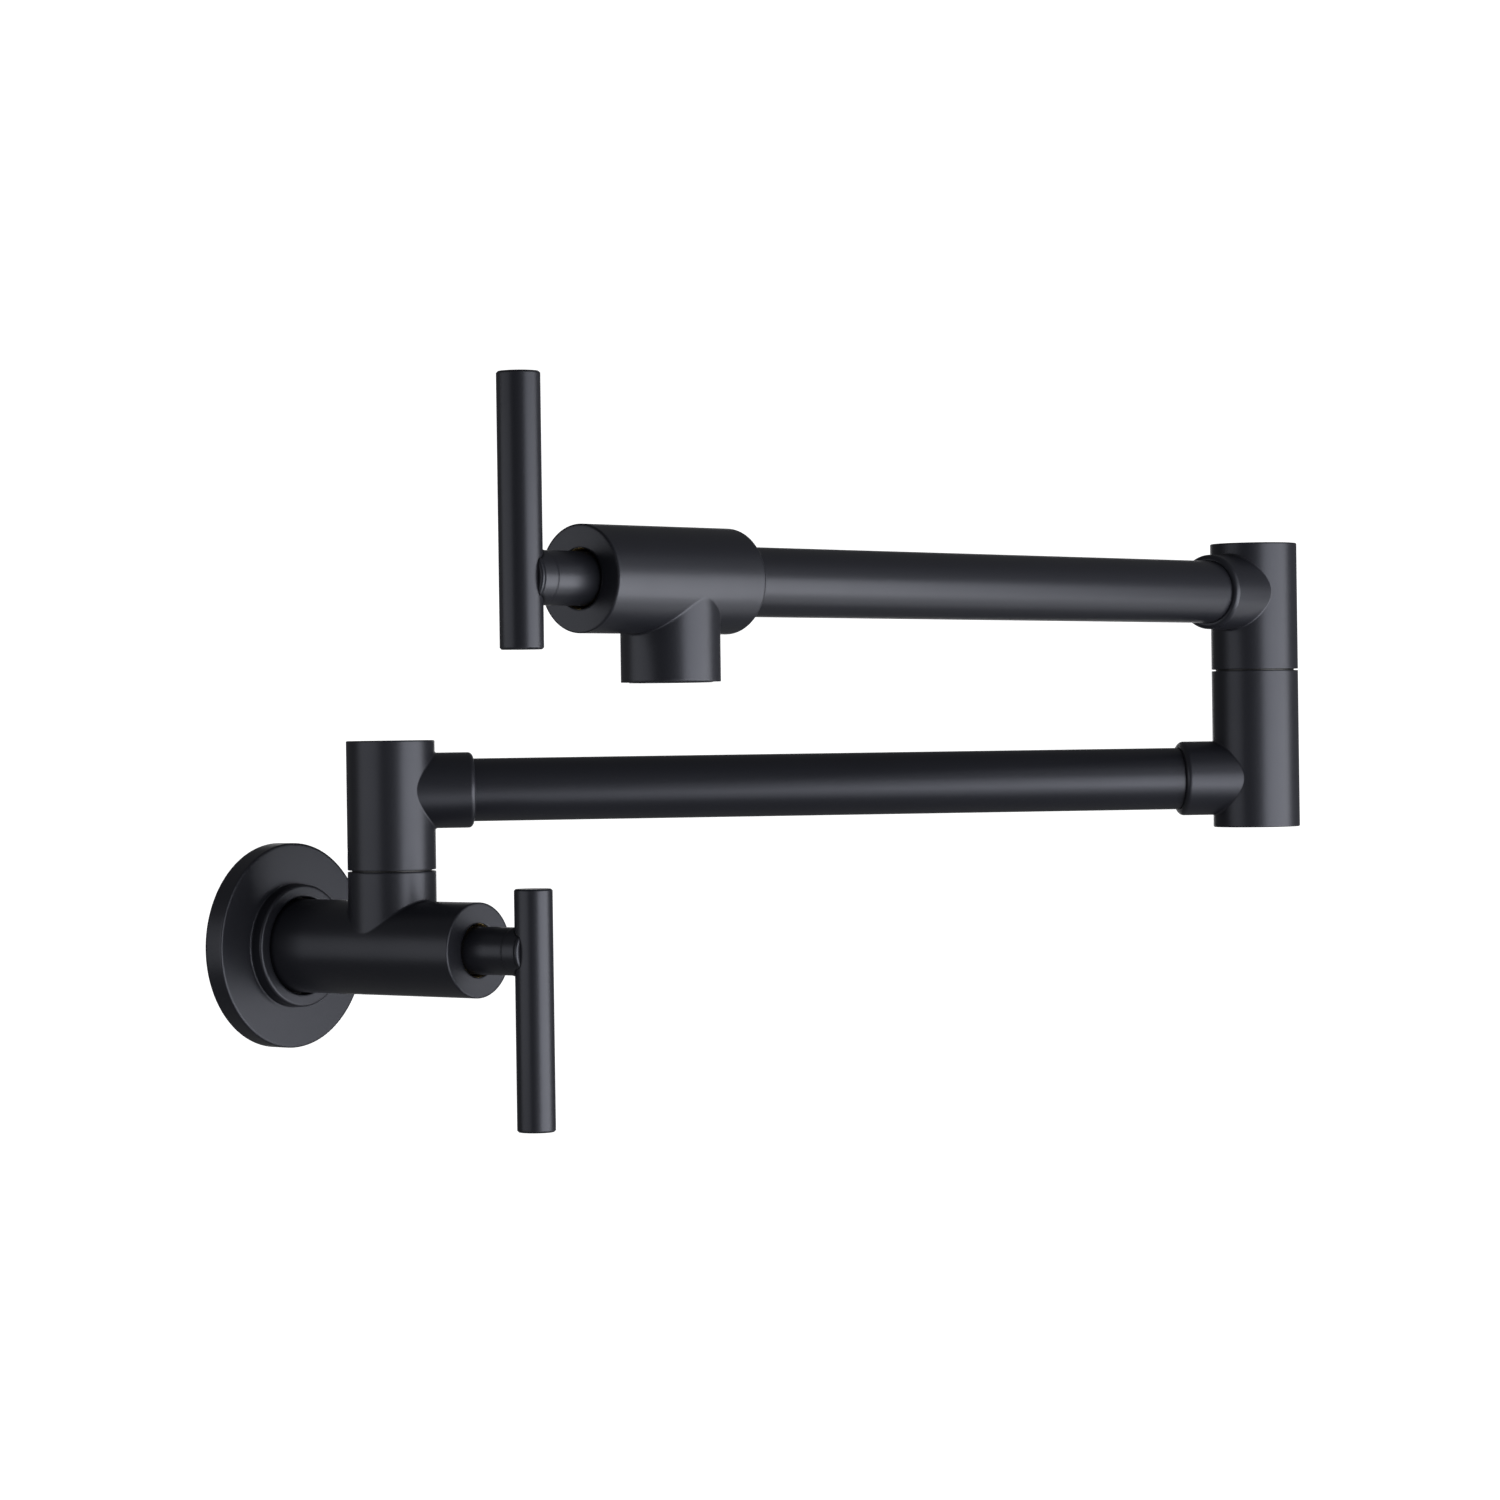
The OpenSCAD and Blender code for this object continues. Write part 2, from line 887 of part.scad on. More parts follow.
module elbow_spigot_o_rings() {
    color(rubber)
        at_elbow_seam()
            spigot_o_rings();
}

module elbow_thrust_washer() {
    color(black_plastic)
        at_elbow_seam()
            thrust_washer();
}

module elbow_upper_body() {
    color(black)
        at_elbow_upper()
            swivel_body();
}

module elbow_screw() {
    color(steel)
        at_elbow_upper()
            swivel_screw();
}

module upper_tube() {
    color(black)
        at_elbow_upper()
            arm_tube(tube_start, arm_len - spout_back + spout_socket);
}

module upper_tube_seals() {
    color(rubber)
        at_elbow_upper() {
            tube_seal(tube_start - tube_seal_t);
            tube_seal(arm_len - spout_back + spout_socket);
        }
}

module spout_valve_body() {
    socket = spout_socket + tube_seal_t;
    color(black)
        difference() {
            at_upper_valve()
                valve_barrel(spout_back, spout_drop);
            // Socket of the upper tube
            at_elbow_upper()
                translate([arm_len - spout_back - over, 0, 0])
                    rotate([0, 90, 0])
                        cylinder(r = tube_r + seat_fit, h = socket + over);
            // Thread of the aerator
            at_spout_end()
                translate([0, 0, -over])
                    cylinder(r = aerator_r + seat_fit, h = aerator_h + over);
        }
}

module upper_cartridge_body() {
    color(brass)
        at_upper_valve()
            cartridge_body();
}

module upper_cartridge_nut() {
    color(brass)
        at_upper_valve()
            cartridge_nut();
}

module upper_cartridge_o_ring() {
    color(rubber)
        at_upper_valve()
            cartridge_o_ring();
}

module upper_fixed_disc() {
    color(ceramic)
        at_upper_valve()
            fixed_disc();
}

module upper_seat_seal() {
    color(rubber)
        at_upper_valve()
            seat_seal();
}

module upper_stem() {
    color(brass)
        at_upper_valve()
            stem();
}

module upper_stem_o_ring() {
    color(rubber)
        at_upper_valve()
            stem_o_ring();
}

module upper_moving_disc() {
    color(ceramic)
        at_upper_valve()
            moving_disc();
}

module upper_hub() {
    color(black)
        at_upper_valve()
            hub();
}

module upper_bar() {
    color(black)
        at_upper_valve()
            bar();
}

module upper_bar_screw() {
    color(steel)
        at_upper_valve()
            bar_screw();
}

module upper_hub_screw() {
    color(steel)
        at_upper_valve()
            hub_screw();
}

// Threaded ring with an inner lip at its mouth
module aerator_housing() {
    height = aerator_h - aerator_gasket_t + aerator_out;
    wall_in = aerator_r - aerator_wall;
    color(black)
        at_spout_end()
            translate([0, 0, -aerator_out])
                rotate_extrude()
                    polygon([
                        [wall_in - aerator_lip_w, 0], [aerator_r - edge, 0], [aerator_r, edge],
                        [aerator_r, height - edge], [aerator_r - edge, height], [wall_in, height],
                        [wall_in, aerator_lip_t], [wall_in - aerator_lip_w, aerator_lip_t]
                    ]);
}

// Outlet plate with round holes on a triangular grid
module aerator_screen() {
    row_step = screen_pitch * sin(60);
    color(steel)
        at_spout_end()
            translate([0, 0, aerator_lip_t - aerator_out])
                difference() {
                    cylinder(r = aerator_r - aerator_wall - seal_edge_gap, h = screen_t);
                    for (row = [-screen_rows:screen_rows]) {
                        holes = 2 * screen_rows + 1 - abs(row);
                        for (i = [0:holes - 1])
                            translate([(i - (holes - 1) / 2) * screen_pitch, row * row_step, -over])
                                cylinder(r = screen_hole_r, h = screen_t + 2 * over, $fn = 24);
                    }
                }
}

// Cup that mixes air and water: a pierced plate on a skirt
module aerator_insert() {
    low = aerator_lip_t + screen_t - aerator_out;
    height = aerator_h - aerator_gasket_t - low;
    cup_r = aerator_r - aerator_wall - seal_edge_gap;
    color(plastic)
        at_spout_end()
            translate([0, 0, low])
                difference() {
                    cylinder(r = cup_r, h = height);
                    translate([0, 0, -over])
                        cylinder(r = cup_r - insert_wall, h = height - insert_plate_t + over);
                    for (i = [0:insert_holes - 1])
                        rotate([0, 0, i * 360 / insert_holes])
                            translate([cup_r * insert_orbit_share, 0, 0])
                                cylinder(r = insert_hole_r, h = height + over, $fn = 24);
                }
}

module aerator_gasket() {
    color(rubber)
        at_spout_end()
            translate([0, 0, aerator_h - aerator_gasket_t])
                washer(aerator_r - aerator_gasket_w, aerator_r - seal_edge_gap, aerator_gasket_t);
}

wall_flange();
flange_o_ring();
lower_valve_body();
inlet_washer();
wall_spigot();
wall_spigot_o_rings();
wall_thrust_washer();
lower_cartridge_body();
lower_cartridge_nut();
lower_cartridge_o_ring();
lower_fixed_disc();
lower_seat_seal();
lower_stem();
lower_stem_o_ring();
lower_moving_disc();
lower_hub();
lower_bar();
lower_bar_screw();
lower_hub_screw();
wall_swivel_body();
wall_swivel_screw();
lower_tube();
lower_tube_seals();
elbow_lower_body();
elbow_spigot();
elbow_spigot_o_rings();
elbow_thrust_washer();
elbow_upper_body();
elbow_screw();
upper_tube();
upper_tube_seals();
spout_valve_body();
upper_cartridge_body();
upper_cartridge_nut();
upper_cartridge_o_ring();
upper_fixed_disc();
upper_seat_seal();
upper_stem();
upper_stem_o_ring();
upper_moving_disc();
upper_hub();
upper_bar();
upper_bar_screw();
upper_hub_screw();
aerator_housing();
aerator_screen();
aerator_insert();
aerator_gasket();
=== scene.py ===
# %% [markdown]
# A wall mounted pot filler, dressed for its photograph. The solid pieces of brass, rubber and
# ceramic come ready made, at their real size and place, and they are never moved here. This
# script adds what the solids can't carry: the finishes, the cut threads, the lips of the handles'
# hubs, the soft fillets where two castings' barrels meet, a lens and the light of a small studio.
# Lengths are in metres, the wall is the plane y = 0 and z points up.

# %% Load the frame and keep its box
import json
import math

import bmesh
import bpy
from mathutils import Matrix, Vector


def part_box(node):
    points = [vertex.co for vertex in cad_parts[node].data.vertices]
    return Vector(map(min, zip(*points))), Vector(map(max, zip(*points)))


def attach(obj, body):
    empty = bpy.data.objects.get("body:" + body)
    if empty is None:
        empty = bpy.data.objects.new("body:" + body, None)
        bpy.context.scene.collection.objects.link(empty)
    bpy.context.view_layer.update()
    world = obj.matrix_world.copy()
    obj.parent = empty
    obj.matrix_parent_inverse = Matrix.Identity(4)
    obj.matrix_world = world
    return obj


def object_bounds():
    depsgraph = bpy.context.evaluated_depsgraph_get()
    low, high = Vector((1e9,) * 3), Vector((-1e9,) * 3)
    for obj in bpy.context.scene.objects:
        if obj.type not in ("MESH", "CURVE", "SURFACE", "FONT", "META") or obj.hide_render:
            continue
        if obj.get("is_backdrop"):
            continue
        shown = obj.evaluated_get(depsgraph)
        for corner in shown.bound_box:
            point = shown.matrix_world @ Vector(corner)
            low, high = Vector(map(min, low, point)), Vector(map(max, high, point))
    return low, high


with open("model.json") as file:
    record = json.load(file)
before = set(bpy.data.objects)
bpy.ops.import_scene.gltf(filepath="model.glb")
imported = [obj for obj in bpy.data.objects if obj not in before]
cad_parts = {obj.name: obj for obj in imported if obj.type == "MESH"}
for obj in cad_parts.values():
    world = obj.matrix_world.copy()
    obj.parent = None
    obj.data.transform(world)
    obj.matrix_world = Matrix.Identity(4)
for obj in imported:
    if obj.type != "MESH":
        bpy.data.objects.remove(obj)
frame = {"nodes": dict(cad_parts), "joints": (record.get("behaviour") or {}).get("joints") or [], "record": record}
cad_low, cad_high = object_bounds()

MM = 0.001
print("solids:", len(frame["nodes"]), "box in mm:", [round(s / MM, 1) for s in cad_high - cad_low])

# %% [markdown]
# The camera could be placed by eye, but then every edge in the picture would be a little off. The
# photograph's own lines give it instead: the arms, the swivels and the flange fix one place, one
# direction and one focal length. It looks almost level, from the left of the tap.

# %% Camera
PHOTO_SIDE = 1500
FOCAL_PIXELS = 4523.8
SENSOR_WIDTH = 36
CAMERA_PLACE = Vector((-1048.52, -1031.33, 69.65)) * MM
CAMERA_TURN = math.radians(-51.456)
CAMERA_TILT = math.radians(-0.341)
CAMERA_ROLL = math.radians(-0.792)

lens = bpy.data.cameras.new("camera")
lens.sensor_width = SENSOR_WIDTH
lens.lens = FOCAL_PIXELS / PHOTO_SIDE * SENSOR_WIDTH
camera = bpy.data.objects.new("camera", lens)
camera.matrix_world = (
    Matrix.Translation(CAMERA_PLACE)
    @ Matrix.Rotation(CAMERA_TURN, 4, "Z")
    @ Matrix.Rotation(math.pi / 2 + CAMERA_TILT, 4, "X")
    @ Matrix.Rotation(CAMERA_ROLL, 4, "Z")
)
bpy.context.scene.collection.objects.link(camera)
bpy.context.scene.camera = camera
print("lens in mm:", round(lens.lens, 2))

# %% [markdown]
# Shader maths is easier to read as a sum than as a row of boxes. A Wire is an output socket that
# can be added, multiplied and so on, from either side, and each sign adds its Math node.

# %% Sums of shader values
class Wire:
    """An output socket of a node, for use in sums."""

    def __init__(self, finish, socket):
        self.finish = finish
        self.socket = socket

    def math(self, operation, *values):
        return self.finish.node("ShaderNodeMath", {"operation": operation}, dict(enumerate(values)))

    def __add__(self, other):
        return self.math("ADD", self, other)

    def __sub__(self, other):
        return self.math("SUBTRACT", self, other)

    def __rsub__(self, other):
        return self.math("SUBTRACT", other, self)

    def __mul__(self, other):
        return self.math("MULTIPLY", self, other)

    __radd__ = __add__
    __rmul__ = __mul__


# %% [markdown]
# A Finish is one material. Its node method adds any node, with the node's settings first and then
# the values or wires of its sockets, each under its name or number. Noise, blends of two colours
# and bumps come up in every finish, so each has its own method. The sockets of a Mix node go by
# number, because its sockets for numbers, vectors and colours share their names. The set method
# fills the sockets of the surface at the end.

# %% One material and its nodes
MIX_FACTOR, MIX_ONE, MIX_TWO = 0, 6, 7
MIX_COLOUR = 2


class Finish:
    """One material, with a method that adds any node."""

    def __init__(self, name):
        self.material = bpy.data.materials.new(name)
        self.material.use_nodes = True
        self.tree = self.material.node_tree
        self.surface = self.tree.nodes["Principled BSDF"]
        self.place = self.node("ShaderNodeTexCoord", {}, {}, output="Object")

    def connect(self, value, socket):
        if isinstance(value, Wire):
            self.tree.links.new(value.socket, socket)
        else:
            socket.default_value = value

    def node(self, kind, settings, sockets, output=0):
        """Adds a node and gives the wire of its output, which also goes by name or number."""
        made = self.tree.nodes.new(kind)
        for name, value in settings.items():
            setattr(made, name, value)
        for name, value in sockets.items():
            self.connect(value, made.inputs[name])
        return Wire(self, made.outputs[output])

    def noise(self, grain, detail=2):
        """Noise with lumps about as wide as grain, from 0 to 1."""
        sockets = {"Vector": self.place, "Scale": 1 / grain, "Detail": detail}
        return self.node("ShaderNodeTexNoise", {}, sockets)

    def blend(self, factor, one, two):
        """The colour one where factor is 0 and two where it is 1."""
        sockets = {MIX_FACTOR: factor, MIX_ONE: one, MIX_TWO: two}
        return self.node("ShaderNodeMix", {"data_type": "RGBA"}, sockets, output=MIX_COLOUR)

    def bump(self, height, depth, normal=None):
        """A Bump node: height from 0 to 1 stands for a relief of that depth."""
        sockets = {"Height": height, "Distance": depth, "Strength": 1.0}
        if normal is not None:
            sockets["Normal"] = normal
        return self.node("ShaderNodeBump", {}, sockets)

    def set(self, **sockets):
        """Fills sockets of the surface. An underscore stands for a space in a socket's name."""
        for name, value in sockets.items():
            self.connect(value, self.surface.inputs[name.replace("_", " ")])
        print("finish:", self.material.name, "nodes:", len(self.tree.nodes))
        return self.material


# %% [markdown]
# Nearly all that shows is brass under a matte black coating. Sprayed and baked, such a coating has
# a very fine orange peel, and it is a little glossier where hands rub it. A flat dark grey would
# look like plastic foam, so the colour stays almost black and the shape is told by broad soft
# highlights, from a middling roughness. The bevel rounds the light over each cut edge, as the
# coating's own thickness does: a little on most pieces, and more on the castings' wide rims. The
# forms added below are round already, so they go without it.

# %% Black coating
COATING = (0.0076, 0.0080, 0.0108, 1)
COATING_RUBBED = (0.0098, 0.0102, 0.0132, 1)
COOL_SHEEN = (0.87, 0.89, 1.0, 1)
HAZE = 14 * MM
PEEL = 0.35 * MM
PEEL_DEPTH = 0.004 * MM
COATING_ROUGHNESS = 0.38
RUBBED_SMOOTHER = 0.05
PEEL_ROUGHER = 0.02
FINE_EDGE = 0.4 * MM
SOFT_EDGE = 1.0 * MM
EDGE_SAMPLES = 8


def black_coating(name, edge=None):
    coat = Finish(name)
    haze = coat.noise(HAZE, detail=3)
    peel = coat.noise(PEEL)
    rounded = None
    if edge:
        rounded = coat.node("ShaderNodeBevel", {"samples": EDGE_SAMPLES}, {"Radius": edge})
    return coat.set(
        Base_Color=coat.blend(haze, COATING, COATING_RUBBED),
        Roughness=COATING_ROUGHNESS - RUBBED_SMOOTHER * haze + PEEL_ROUGHER * peel,
        Specular_Tint=COOL_SHEEN,
        Normal=coat.bump(peel, PEEL_DEPTH, rounded),
    )


finishes = {"black_finish": black_coating("black coating", FINE_EDGE)}
soft_coating = black_coating("black coating with soft edges", SOFT_EDGE)
plain_coating = black_coating("black coating on small forms")

# %% [markdown]
# Where threads and cartridges sit, the metal is bare turned brass. It is brightest and a little
# rougher where the cut is fresh, and browner where it has tarnished, and a fine grain stands for
# the marks of the tool. One colour and one roughness would look like yellow plastic.

# %% Turned brass
BRASS_TARNISHED = (0.72, 0.52, 0.21, 1)
BRASS_FRESH = (0.86, 0.68, 0.34, 1)
BRASS_PATCH = 6 * MM
BRASS_ROUGHNESS = 0.20
FRESH_ROUGHER = 0.12
TOOL_MARKS = 0.25 * MM
TOOL_MARKS_DEPTH = 0.006 * MM


def turned_brass():
    brass = Finish("turned brass")
    fresh = brass.noise(BRASS_PATCH, detail=4)
    marks = brass.noise(TOOL_MARKS)
    return brass.set(
        Base_Color=brass.blend(fresh, BRASS_TARNISHED, BRASS_FRESH),
        Metallic=1.0,
        Roughness=BRASS_ROUGHNESS + FRESH_ROUGHER * fresh,
        Normal=brass.bump(marks, TOOL_MARKS_DEPTH),
    )


finishes["brass"] = turned_brass()

# %% [markdown]
# The small screws and the strainer are plain steel. Steel is a grey metal, so the colour is the
# reflection's tint, and patches of handling vary both the tint and the roughness.

# %% Screw steel
STEEL_DULL = (0.36, 0.36, 0.37, 1)
STEEL_PALE = (0.58, 0.58, 0.60, 1)
STEEL_PATCH = 2 * MM
STEEL_ROUGHNESS = 0.26
PALE_ROUGHER = 0.14
STEEL_GRAIN = 0.2 * MM
STEEL_GRAIN_DEPTH = 0.005 * MM


def screw_steel():
    steel = Finish("screw steel")
    patch = steel.noise(STEEL_PATCH, detail=4)
    grain = steel.noise(STEEL_GRAIN)
    return steel.set(
        Base_Color=steel.blend(patch, STEEL_DULL, STEEL_PALE),
        Metallic=1.0,
        Roughness=STEEL_ROUGHNESS + PALE_ROUGHER * patch,
        Normal=steel.bump(grain, STEEL_GRAIN_DEPTH),
    )


finishes["steel"] = screw_steel()

# %% [markdown]
# Rubber rings and washers are nearly black and quite rough, with a pale bloom in patches where
# the wax comes out of the rubber. The bloom lightens the colour and takes away what gloss is left.

# %% Black rubber
RUBBER_BARE = (0.012, 0.012, 0.012, 1)
RUBBER_BLOOM = (0.035, 0.034, 0.033, 1)
BLOOM_PATCH = 3 * MM
RUBBER_ROUGHNESS = 0.62
BLOOM_ROUGHER = 0.18
RUBBER_GRAIN = 0.3 * MM
RUBBER_GRAIN_DEPTH = 0.01 * MM


def black_rubber():
    rubber = Finish("black rubber")
    bloom = rubber.noise(BLOOM_PATCH, detail=4)
    grain = rubber.noise(RUBBER_GRAIN)
    return rubber.set(
        Base_Color=rubber.blend(bloom, RUBBER_BARE, RUBBER_BLOOM),
        Roughness=RUBBER_ROUGHNESS + BLOOM_ROUGHER * bloom,
        Normal=rubber.bump(grain, RUBBER_GRAIN_DEPTH),
    )


finishes["rubber"] = black_rubber()

# %% [markdown]
# Two plastics are moulded: the black thrust washers in the seams of the swivels, and the white
# honeycomb in the spout. A mould leaves an even, slightly cloudy skin with a fine grain, so one
# recipe with two pairs of colours does for both.

# %% Moulded plastics
BLACK_PLASTIC = (0.010, 0.010, 0.010, 1), (0.018, 0.018, 0.018, 1)
WHITE_PLASTIC = (0.72, 0.72, 0.69, 1), (0.80, 0.80, 0.78, 1)
PLASTIC_CLOUD = 5 * MM
PLASTIC_ROUGHNESS = 0.36
CLOUD_ROUGHER = 0.10
MOULD_GRAIN = 0.25 * MM
MOULD_GRAIN_DEPTH = 0.006 * MM


def moulded_plastic(name, deep, pale):
    plastic = Finish(name)
    cloud = plastic.noise(PLASTIC_CLOUD, detail=3)
    grain = plastic.noise(MOULD_GRAIN)
    return plastic.set(
        Base_Color=plastic.blend(cloud, deep, pale),
        Roughness=PLASTIC_ROUGHNESS + CLOUD_ROUGHER * cloud,
        Normal=plastic.bump(grain, MOULD_GRAIN_DEPTH),
    )


finishes["black_plastic"] = moulded_plastic("black plastic", *BLACK_PLASTIC)
finishes["white_plastic"] = moulded_plastic("white plastic", *WHITE_PLASTIC)

# %% [markdown]
# The discs that open and shut the water are ceramic, lapped so flat that they seal on each other.
# That makes them glossy, with only the faintest grain. One low roughness would look wet, so the
# grain varies it too.

# %% Lapped ceramic
CERAMIC_DEEP = (0.80, 0.77, 0.68, 1)
CERAMIC_PALE = (0.88, 0.86, 0.80, 1)
CERAMIC_CLOUD = 2 * MM
CERAMIC_ROUGHNESS = 0.12
LAPPING_ROUGHER = 0.10
LAPPING_GRAIN = 0.15 * MM
LAPPING_DEPTH = 0.002 * MM


def lapped_ceramic():
    ceramic = Finish("lapped ceramic")
    cloud = ceramic.noise(CERAMIC_CLOUD, detail=3)
    lapping = ceramic.noise(LAPPING_GRAIN)
    return ceramic.set(
        Base_Color=ceramic.blend(cloud, CERAMIC_DEEP, CERAMIC_PALE),
        Roughness=CERAMIC_ROUGHNESS + LAPPING_ROUGHER * lapping,
        Normal=ceramic.bump(lapping, LAPPING_DEPTH),
    )


finishes["ceramic"] = lapped_ceramic()

# %% [markdown]
# Each solid names its material slot in the record, so the finishes can be handed out by that name
# in one loop. Nothing is set by hand, and a new solid can't be forgotten. The flange, the two
# valve bodies and the hubs have wider rims, which take the coating with soft edges.

# %% Give each solid its finish
SOFT_EDGED = ("wall_flange", "lower_valve_body", "spout_valve_body", "lower_hub", "upper_hub")
for row in frame["record"]["subparts"]:
    finish = soft_coating if row["node"] in SOFT_EDGED else finishes[row["material_slot"]]
    for holder in frame["nodes"][row["node"]].material_slots:
        holder.material = finish

# %% [markdown]
# The new pieces need the lines that the tap is built round: the wall valve's barrel, the two
# swivels and the spout's barrel. They could be typed in as numbers, but each joint turns on one of
# them, so they are read from the joints. Then the new pieces stay in place if the arms are ever
# made longer.

# %% Lines that the tap is built round
joints = {joint["name"]: joint for joint in frame["joints"]}


def spot(name):
    """A point on the line that a joint turns on."""
    return Vector(joints[name]["pos_m"])


def line(name):
    """The direction of a joint's line."""
    return Vector(joints[name]["axis"])


UP = Vector((0, 0, 1))
wall_swivel, elbow = spot("lower_arm_swing"), spot("upper_arm_swing")
wall_face, wall_out = spot("lower_handle_turn"), line("lower_handle_turn")
spout_face, spout_out = spot("upper_handle_turn"), line("upper_handle_turn")
nose = (wall_face - wall_swivel).dot(wall_out)
spout = spout_face - nose * spout_out
along_lower = Vector((elbow.x - wall_swivel.x, elbow.y - wall_swivel.y, 0)).normalized()
print("arm in mm:", round((elbow.xy - wall_swivel.xy).length / MM, 2), "nose in mm:", round(nose / MM, 2))

# %% [markdown]
# Every added piece is a mesh of rings: closed loops of points, each joined to the next. A curve
# with a round profile could make a plain ring, but not one whose shape changes on its way, and all
# of these do. One helper turns the rings into faces, names the body that the piece rides on and
# gives it its finish. The row of rings may close on itself, and then the piece has no ends.
# Otherwise both ends are capped.

# %% Rings into pieces
def piece_of_rings(name, body, slot, rings, flat_from=None, capped=False):
    """Joins each ring of points to the next, and the last to the first unless the ends are capped.

    Faces are shaded smooth, apart from those after the ring flat_from.
    """
    mesh = bpy.data.meshes.new(name)
    shape = bmesh.new()
    rows = [[shape.verts.new(point) for point in ring] for ring in rings]
    for number, row in enumerate(rows[:-1] if capped else rows):
        after = rows[(number + 1) % len(rows)]
        for i in range(len(row)):
            j = (i + 1) % len(row)
            face = shape.faces.new((row[i], row[j], after[j], after[i]))
            face.smooth = flat_from is None or number < flat_from
    if capped:
        shape.faces.new(rows[0])
        shape.faces.new(rows[-1])
    bmesh.ops.recalc_face_normals(shape, faces=shape.faces)
    shape.to_mesh(mesh)
    shape.free()
    mesh.materials.append(plain_coating if slot == "black_finish" else finishes[slot])
    piece = bpy.data.objects.new(name, mesh)
    bpy.context.scene.collection.objects.link(piece)
    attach(piece, body)
    print(name, "faces:", len(mesh.polygons))


# %% [markdown]
# A thread could be carved out of a body with a boolean, but the bodies are never changed here. So
# each thread is a thin brass sleeve in its bore: its radius falls and rises with the height and
# slips by one pitch in a full turn, and the ridges die away at both ends, as a cutter leaves them.
# The sleeve stands a hair proud of the bore's wall, and its back is sunk in the metal.

# %% A sleeve with a thread inside
SLEEVE_PROUD = 0.03 * MM
SLEEVE_SUNK = 0.05 * MM
SLEEVE_POINTS = 72
ROWS_A_PITCH = 8
RIDGE_HEIGHT = 1.6
RIDGE_STEEPNESS = 4.0


def ridge(phase):
    """Height of a thread's ridge, from 0 to 1: steep sides, a flat crest and a flat root."""
    return min(1.0, max(0.0, RIDGE_HEIGHT - RIDGE_STEEPNESS * abs(phase % 1.0 - 0.5)))


def threaded_sleeve(name, body, mouth, inward, start, end, wall_radius, crest_radius, pitch):
    """An inner thread that runs from start to end behind the mouth of a bore."""
    side = inward.orthogonal().normalized()
    other = inward.cross(side)

    def ring(depth, radius_at):
        points = []
        for step in range(SLEEVE_POINTS):
            angle = 2 * math.pi * step / SLEEVE_POINTS
            spoke = math.cos(angle) * side + math.sin(angle) * other
            points.append(mouth + depth * inward + radius_at(step / SLEEVE_POINTS) * spoke)
        return points

    rows = round((end - start) / pitch * ROWS_A_PITCH)
    root = wall_radius - SLEEVE_PROUD
    rings = []
    for row in range(rows + 1):
        depth = start + (end - start) * row / rows
        fade = min(1.0, (depth - start) / pitch, (end - depth) / pitch)
        rings.append(ring(
            depth,
            lambda turn: root + fade * ridge(depth / pitch - turn) * (crest_radius - root),
        ))
    for depth in (end, start):
        rings.append(ring(depth, lambda turn: wall_radius + SLEEVE_SUNK))
    piece_of_rings(name, body, "brass", rings, flat_from=rows)


# %% [markdown]
# Behind each handle's hub the bore is threaded for the nut that holds the cartridge, and a glint of
# that brass shows in the photograph. Both valves take the same cartridge, so one loop cuts both.

# %% Threads of the two front bores
VALVE_BORE = 8.4 * MM
VALVE_CREST = 8.0 * MM
VALVE_PITCH = 1.0 * MM
FIRST_THREAD = 0.5 * MM
LAST_THREAD = 8.9 * MM
for name, body, face, out in (
    ("lower_bore_thread", "wall_valve", wall_face, wall_out),
    ("upper_bore_thread", "upper_arm", spout_face, spout_out),
):
    threaded_sleeve(
        name, body, face, -out,
        FIRST_THREAD, LAST_THREAD, VALVE_BORE, VALVE_CREST, VALVE_PITCH,
    )

# %% [markdown]
# The supply pipe's thread is the common half inch one, with 14 turns to the inch. Its sleeve runs
# from just inside the mouth to just short of the washer at the bottom.

# %% Thread of the inlet
INLET_MOUTH = Vector((0, 0, 0))
FROM_WALL = Vector((0, -1, 0))
INLET_BORE = 9.3 * MM
INLET_CREST = 8.8 * MM
INCH = 25.4 * MM
TURNS_AN_INCH = 14
INLET_PITCH = INCH / TURNS_AN_INCH
INLET_LEAD = 0.6 * MM
WASHER_GAP = 0.3 * MM
inlet_end = -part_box("inlet_washer")[1][1] - WASHER_GAP
threaded_sleeve(
    "inlet_thread", "wall_valve", INLET_MOUTH, FROM_WALL,
    INLET_LEAD, inlet_end, INLET_BORE, INLET_CREST, INLET_PITCH,
)

# %% [markdown]
# A hub is wider than its bar, so its end clasps the bar with a small lip on each side. A boolean
# could cut a lip from a rod, but it would leave long thin faces that shade badly. So each ring of
# the mesh is the arc of the hub's round outside the bar, and the arc's two ends lie a hair inside
# the bar. The last rings draw in along a quarter of an ellipse, which rounds the lip's edge.
# Places along the hub count from the bar's middle.

# %% A lip of a hub
LIP_RADIUS = 7.76 * MM
LIP_START, ROUND_START, LIP_END = -1.9 * MM, -0.95 * MM, -0.4 * MM
LIP_DEPTH = 1.0 * MM
LIP_ARC_POINTS = 17
LIP_ROUND_RINGS = 10
BAR_RADIUS = 6 * MM
BAR_TOUCH = 0.02 * MM


def bar_crossing(bar, face):
    """Where the bar's middle line crosses the hub's."""
    bar_low, bar_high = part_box(bar)
    return Vector(((bar_low[0] + bar_high[0]) / 2, (bar_low[1] + bar_high[1]) / 2, face.z))


